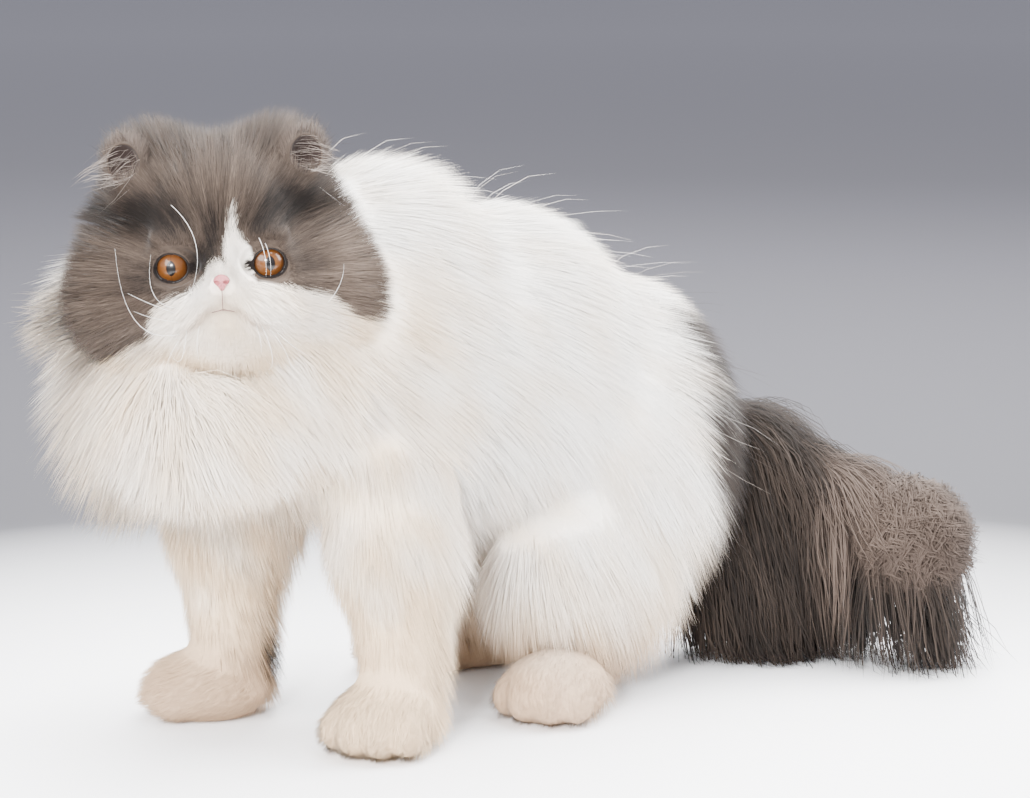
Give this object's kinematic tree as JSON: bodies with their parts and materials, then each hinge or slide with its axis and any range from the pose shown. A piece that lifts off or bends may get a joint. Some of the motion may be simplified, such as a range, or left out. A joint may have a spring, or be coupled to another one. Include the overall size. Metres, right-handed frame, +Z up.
{
  "type": "persian cat",
  "caption": "Life-size blue and white Persian cat, standing half crouched with its head turned to its left, with long locks of coat.",
  "frame": {"origin": "centre of the bounding box, on the floor under the cat", "axes": "+Z up; the cat's body faces -Y and its left side is +X"},
  "size_m": [0.2898, 0.5622, 0.3595],
  "materials": {
    "white_coat": "soft fur",
    "grey_coat": "soft fur",
    "eye_amber": "glossy",
    "nose_pink": "satin"
  },
  "bodies": {
    "root": {"eye_left": "eye_amber", "eye_right": "eye_amber", "nose": "nose_pink", "ear_left": "grey_coat", "ear_right": "grey_coat", "head": "grey_coat", "neck": "white_coat", "torso": "white_coat", "tail_root": "grey_coat", "tail_brush": "grey_coat", "paw_front_left": "white_coat", "leg_front_left": "white_coat", "paw_hind_left": "white_coat", "leg_hind_left": "white_coat", "paw_front_right": "white_coat", "leg_front_right": "white_coat", "paw_hind_right": "white_coat", "leg_hind_right": "white_coat"}
  },
  "joints": []
}
